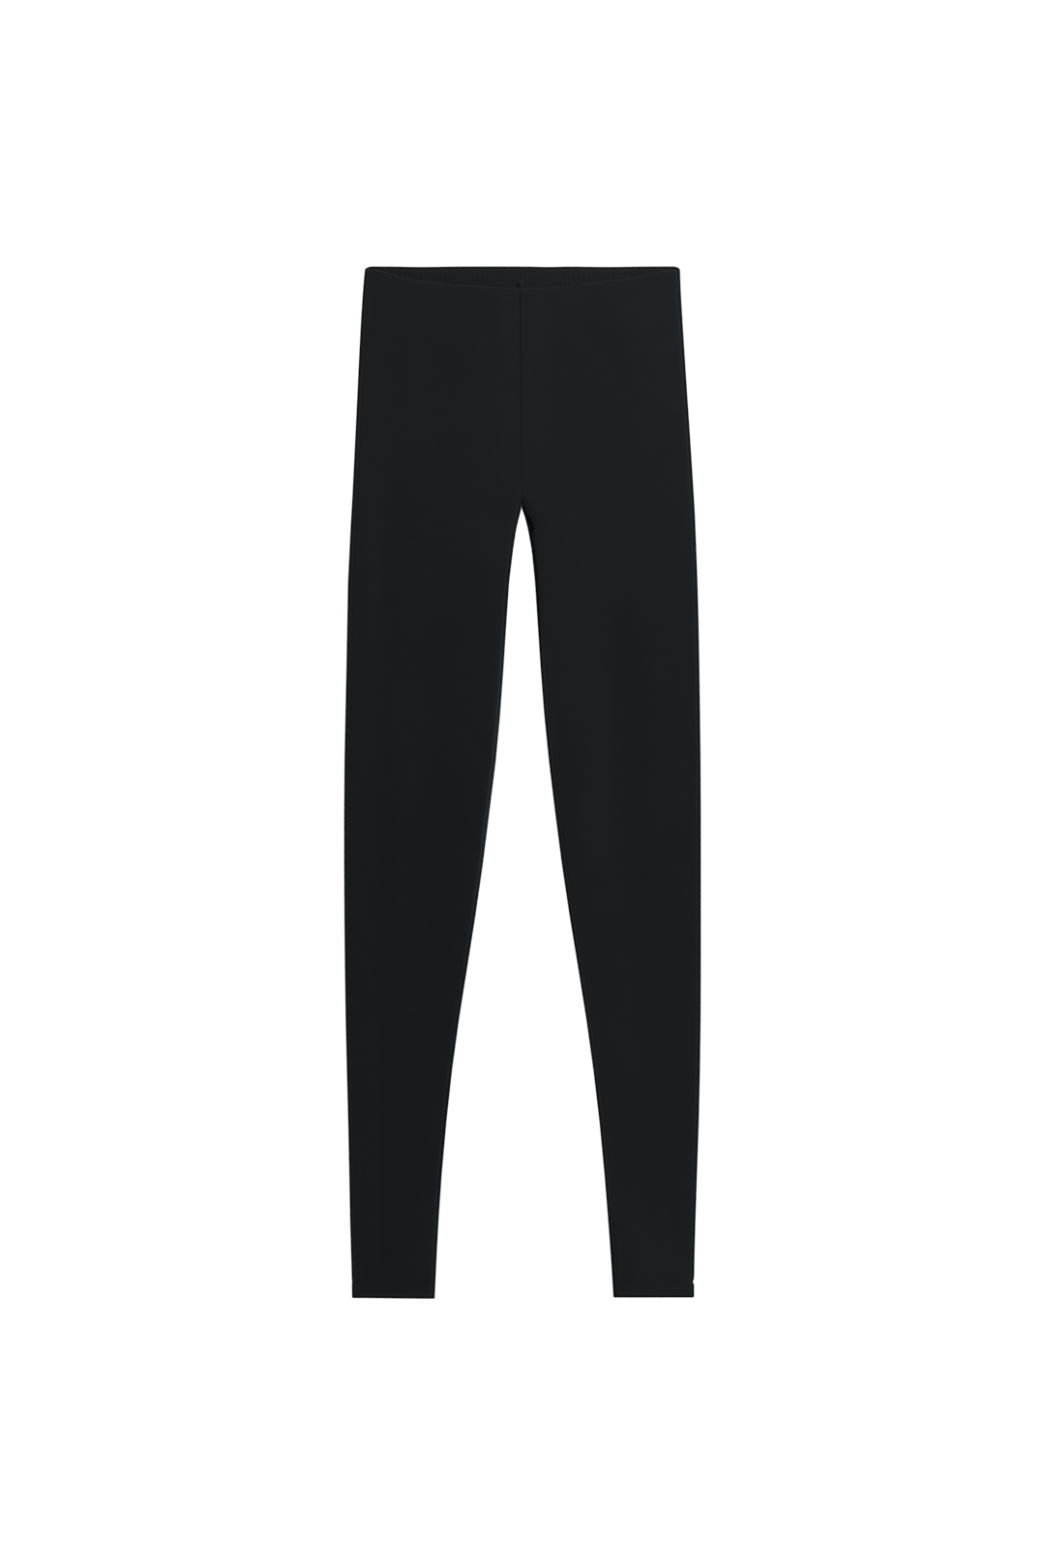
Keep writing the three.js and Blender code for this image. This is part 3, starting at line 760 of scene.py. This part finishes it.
casing_grain = round_waist(casing_across)
casing_rims = {side: rims(halves[side], side, casing_columns["front"]) for side in LEGS}
jersey_inside = jersey_finish("black_jersey_wrong_side", INSIDE_DARK, INSIDE_LIGHT, False)
casing = swept_body("waist_casing_cloth", casing_points, True, casing_grain, casing_below)
casing.data.materials.append(jersey_inside)
mark(casing, {name: round_waist(lambda side: casing_rims[side][name]) for name in ("rim", "rim_light_and_shade")})
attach(casing, "root")
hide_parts("waist_casing")
waist = 2 * sum(abs(leg["outer"][0] - leg["inner"][0]) for leg in LEGS.values())

# Hem turn-ups, right and left
# The lower edge of each leg, turned up inside and caught down with two rows of stitching. It meets the leg
# cloth at the crown of the hem.
HEM_ROWS = {"start": 0.0026, "step": 0.0014, "hidden": (0.011, 0.005, 0.0022), "lip": 0.0005, "last": 0.0002}
HEM_SEAM_TURNS = [0, 6, 12, 20, 30, 42, 55, 70]
hem_columns = round_leg(front_count=44, back_count=44, fold_step=9, seam_turns=HEM_SEAM_TURNS)
hem_below, hem_depth = turned_in(HEM_EDGE, HEM_DEPTH, HEM_EDGE * 2, HEM_ROWS)
ring_columns = {key: value[:-1] for key, value in hem_columns.items()}
for side in LEGS:
    places = cloth_places(side, ring_columns, LENGTH - hem_below, hem_depth, relief=False)
    turn_up = swept_body(f"hem_cloth_{side}", places, True, from_fold(places, ring_columns), hem_below)
    turn_up.data.materials.append(jersey_inside)
    mark(turn_up, rims(places, side, ring_columns["front"]))
    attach(turn_up, "root")
    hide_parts(f"hem_turn_up_{side}")

# Stitching
# Matt black polyester thread, sunk into the jersey. Two rows hold the waist casing and two each hem. Inside
# the casing the looping side of the stitch crosses its lower edge. The table presses the back's rows flush.
THREAD = 0.00015
THREAD_SUNK = THREAD * 0.3
BACK_PRESSED = 0.0002
STITCH_PITCH = 0.0028
STITCH = {"half": 0.00125, "dip": 0.00028, "rise": 0.00032}
LAST_TURN = math.radians(48)
THREAD_DARK = (0.0072, 0.0082, 0.0094)
THREAD_LIGHT = (0.0104, 0.0117, 0.0131)
LOOPER = {"below": 0.0172, "pitch": 0.0044, "reach": 0.0022, "rise": 0.00035}


def stitch_tree():
    """Geometry nodes that lay a short thread, bent along three given points, at each step of a path. up is
    the way that the cloth faces at each point of the path."""
    tree = bpy.data.node_groups.new("stitch_row", "GeometryNodeTree")
    tree.is_modifier = True
    inputs = {"Path": "Geometry", "Pitch": "Float", "Start": "Vector", "Middle": "Vector", "End": "Vector"}
    for name, kind in {**inputs, "Thread": "Float", "Finish": "Material"}.items():
        tree.interface.new_socket(name, in_out="INPUT", socket_type=f"NodeSocket{kind}")
    tree.interface.new_socket("Stitches", in_out="OUTPUT", socket_type="NodeSocketGeometry")

    def add(kind, settings, sockets):
        node = tree.nodes.new(kind)
        for key, value in settings.items():
            setattr(node, key, value)
        for key, value in sockets.items():
            if isinstance(value, bpy.types.NodeSocket):
                tree.links.new(value, node.inputs[key])
            else:
                node.inputs[key].default_value = value
        return node

    given = add("NodeGroupInput", {}, {}).outputs
    path = add("GeometryNodeMeshToCurve", {}, {"Mesh": given["Path"]})
    steps = {"Curve": path.outputs["Curve"], "Length": given["Pitch"]}
    points = add("GeometryNodeCurveToPoints", {"mode": "LENGTH"}, steps).outputs
    up = add("GeometryNodeInputNamedAttribute", {"data_type": "FLOAT_VECTOR"}, {"Name": "up"})
    along = add("FunctionNodeAlignRotationToVector", {"axis": "X"}, {"Vector": points["Tangent"]})
    facing = {"Rotation": along.outputs["Rotation"], "Vector": up.outputs["Attribute"]}
    facing = add("FunctionNodeAlignRotationToVector", {"axis": "Z", "pivot_axis": "X"}, facing)
    bend = {"Resolution": 8, "Start": given["Start"], "Middle": given["Middle"], "End": given["End"]}
    bend = add("GeometryNodeCurveQuadraticBezier", {}, bend)
    profile = add("GeometryNodeCurvePrimitiveCircle", {}, {"Resolution": 6, "Radius": given["Thread"]})
    tube = {"Curve": bend.outputs["Curve"], "Profile Curve": profile.outputs["Curve"], "Fill Caps": True}
    tube = add("GeometryNodeCurveToMesh", {}, tube)
    laid = {"Points": points["Points"], "Instance": tube.outputs["Mesh"]}
    laid["Rotation"] = facing.outputs["Rotation"]
    laid = add("GeometryNodeInstanceOnPoints", {}, laid)
    real = add("GeometryNodeRealizeInstances", {}, {"Geometry": laid.outputs["Instances"]})
    final = {"Geometry": real.outputs["Geometry"], "Material": given["Finish"]}
    final = add("GeometryNodeSetMaterial", {}, final)
    add("NodeGroupOutput", {}, {"Stitches": final.outputs["Geometry"]})
    return tree


def thread_finish():
    finish = Finish("black_thread")
    place = finish.add("TexCoord", {}, {}).outputs["Object"]
    fibres = finish.number("TexNoise", {}, {"Vector": place, "Scale": 2600.0, "Detail": 2.0}, "Fac")
    colour = finish.mixed(fibres.over(0.3, 0.7), THREAD_DARK, THREAD_LIGHT)
    bump = finish.add("Bump", {}, {"Strength": 0.3, "Distance": 0.00004, "Height": fibres})
    sockets = {"Base Color": colour, "Roughness": 0.7, "Specular IOR Level": 0.1}
    surface = finish.add("BsdfPrincipled", {}, {**sockets, "Normal": bump.outputs["Normal"]})
    finish.add("OutputMaterial", {}, {"Surface": surface.outputs["BSDF"]})
    return finish.material


stitch_nodes = stitch_tree()
thread = thread_finish()


def sew(name, rows, pitch, bend):
    """A piece with a row of stitches along each of the rows, which are (points, ups, whether it closes)."""
    places, ups, edges = [], [], []
    for points, up, closes in rows:
        first = len(places)
        places += points.tolist()
        ups += up.tolist()
        edges += [(first + i, first + i + 1) for i in range(len(points) - 1)]
        edges += [(first + len(points) - 1, first)] if closes else []
    path = bpy.data.meshes.new(name)
    path.from_pydata(places, edges, [])
    layer = path.attributes.new("up", "FLOAT_VECTOR", "POINT")
    layer.data.foreach_set("vector", np.array(ups, dtype=np.float32).ravel())
    piece = bpy.data.objects.new(name, path)
    bpy.context.scene.collection.objects.link(piece)
    modifier = piece.modifiers.new("stitches", "NODES")
    modifier.node_group = stitch_nodes
    given = {"Pitch": pitch, "Start": bend[0], "Middle": bend[1], "End": bend[2]}
    given.update({"Thread": THREAD, "Finish": thread})
    for item in stitch_nodes.interface.items_tree:
        if item.item_type == "SOCKET" and item.in_out == "INPUT" and item.name in given:
            modifier[item.identifier] = given[item.name]
    sewn = piece.evaluated_get(bpy.context.evaluated_depsgraph_get())
    piece.data = bpy.data.meshes.new_from_object(sewn)
    piece.modifiers.clear()
    piece.data.name = name
    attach(piece, "root")
    return piece


def outward(outer, inner):
    """The way that the cloth faces, from its points on two faces."""
    way = outer - inner
    return way / np.linalg.norm(way, axis=-1, keepdims=True)


def outer_row(side, columns, below):
    """Points along a row on a leg's outer face, a little sunk, and the way that the cloth faces there."""
    row = np.array([below])
    depth = THREAD_SUNK + np.where(columns["front"], 0, BACK_PRESSED)[None]
    outer = cloth_places(side, columns, row, depth, relief=False)[0]
    inner = cloth_places(side, columns, row, depth + CLOTH / 2, relief=False)[0]
    return np.stack([outer, outward(outer, inner)])


def looper_row(side):
    """Points along the looping side's row on the casing's inner face, and the way that it faces there."""
    row = np.array([LOOPER["below"]])
    outer = casing_half(side, row, np.array([inside_depth]))[0]
    inner = casing_half(side, row, np.array([inside_depth - CLOTH / 2]))[0]
    return np.stack([outer, outward(outer, inner)])


def runs(row, columns, round_seam):
    """A row's front and back, each from the seam outwards. Stitches leave out the tight turns."""
    tight = (columns["edge"] == 1) | ((columns["edge"] == 2) & round_seam)
    kept = ~tight | (np.abs(columns["turn"]) > LAST_TURN)
    return row[:, kept & columns["front"]], row[:, kept & ~columns["front"]][:, ::-1]


straight = [(STITCH["half"] * end, 0, -STITCH["dip"]) for end in (-1, 1)]
straight.insert(1, (0, 0, STITCH["rise"]))
waist_rows = []
for below in WAIST_STITCH_ROWS:
    halves = [runs(outer_row(side, casing_columns, below), casing_columns, False) for side in LEGS]
    waist_rows += [np.concatenate([right[:, :0:-1], left], axis=1) for right, left in zip(*halves)]
waist_stitches = sew("waist_stitches", [(*row, False) for row in waist_rows], STITCH_PITCH, straight)

step, reach, rise = LOOPER["pitch"] / 2, LOOPER["reach"], LOOPER["rise"]
crossing = [(-step, -reach, 0), (0, 3 * reach, 2 * rise), (step, -reach, 0)]
inside_row = round_waist(looper_row)
waist_loops = sew("waist_loops", [(*inside_row, True)], LOOPER["pitch"], crossing)

for side in LEGS:
    rows = [outer_row(side, ring_columns, LENGTH - above) for above in HEM_STITCH_ROWS]
    rows = [(*run, False) for row in rows for run in runs(row, ring_columns, True)]
    hem_stitches = sew(f"hem_stitches_{side}", rows, STITCH_PITCH, straight)

# Floor and light
# A plain white light table, and one soft studio light from the right and a little above.
ROOM_LIGHT = 0.135
FLOOR_HALF = 6.0
WHITE = (1, 1, 1, 1)
FLOOR_CORNERS = [(-1, -1), (1, -1), (1, 1), (-1, 1)]
floor_mesh = bpy.data.meshes.new("floor")
floor_mesh.from_pydata([(x * FLOOR_HALF, y * FLOOR_HALF, 0) for x, y in FLOOR_CORNERS], [], [(0, 1, 2, 3)])
floor = bpy.data.objects.new("floor", floor_mesh)
bpy.context.scene.collection.objects.link(floor)
white = Finish("white_floor")
white_surface = white.add(
    "BsdfPrincipled",
    {},
    {
        "Base Color": (0.04, 0.04, 0.04, 1),
        "Roughness": 0.8,
        "Specular IOR Level": 0.0,
        "Emission Color": WHITE,
        "Emission Strength": 1.0,
    },
)
white.add("OutputMaterial", {}, {"Surface": white_surface.outputs["BSDF"]})
floor_mesh.materials.append(white.material)

SOFT_LIGHTS = [
    {"name": "key", "place": (1.0, 1.6, 1.0), "size": 0.7, "power": 54.2},
    {"name": "fill", "place": (0.5, -1.2, 0.6), "size": 0.7, "power": 8.5},
]
for light in SOFT_LIGHTS:
    lamp = bpy.data.lights.new(light["name"], "AREA")
    lamp.shape = "DISK"
    lamp.size = light["size"]
    lamp.energy = light["power"]
    holder = bpy.data.objects.new(light["name"], lamp)
    holder.location = light["place"]
    aim = Vector((0, 0, 0)) - holder.location
    holder.rotation_euler = aim.to_track_quat("-Z", "Y").to_euler()
    bpy.context.scene.collection.objects.link(holder)

# The room's own light is faint, and the white paper behind the table is lit like the table
world = bpy.data.worlds.new("studio")
world.use_nodes = True
world_nodes = world.node_tree.nodes
world_nodes["Background"].inputs["Color"].default_value = WHITE
world_nodes["Background"].inputs["Strength"].default_value = ROOM_LIGHT
paper = world_nodes.new("ShaderNodeBackground")
paper.inputs["Color"].default_value = WHITE
seen = world_nodes.new("ShaderNodeLightPath")
either = world_nodes.new("ShaderNodeMixShader")
world.node_tree.links.new(seen.outputs["Is Camera Ray"], either.inputs["Fac"])
world.node_tree.links.new(world_nodes["Background"].outputs["Background"], either.inputs[1])
world.node_tree.links.new(paper.outputs["Background"], either.inputs[2])
world.node_tree.links.new(either.outputs["Shader"], world_nodes["World Output"].inputs["Surface"])
bpy.context.scene.world = world
bpy.context.scene.view_settings.view_transform = "Standard"

# Camera
# Straight above, with the waist at the top of the picture.
FRAME_HEIGHT = 1.5228  # what the picture's long side covers at the cloth
LENS = 85.0
SENSOR = 36.0
AIM_Y = -0.0016
CLOTH_TOP = 0.003
FAR_CLIP = 50
camera_data = bpy.data.cameras.new("camera")
camera_data.lens = LENS
camera_data.sensor_width = SENSOR
camera_data.clip_end = FAR_CLIP
camera = bpy.data.objects.new("camera", camera_data)
camera.location = (0, AIM_Y, CLOTH_TOP + FRAME_HEIGHT * LENS / SENSOR)
bpy.context.scene.collection.objects.link(camera)
bpy.context.scene.camera = camera
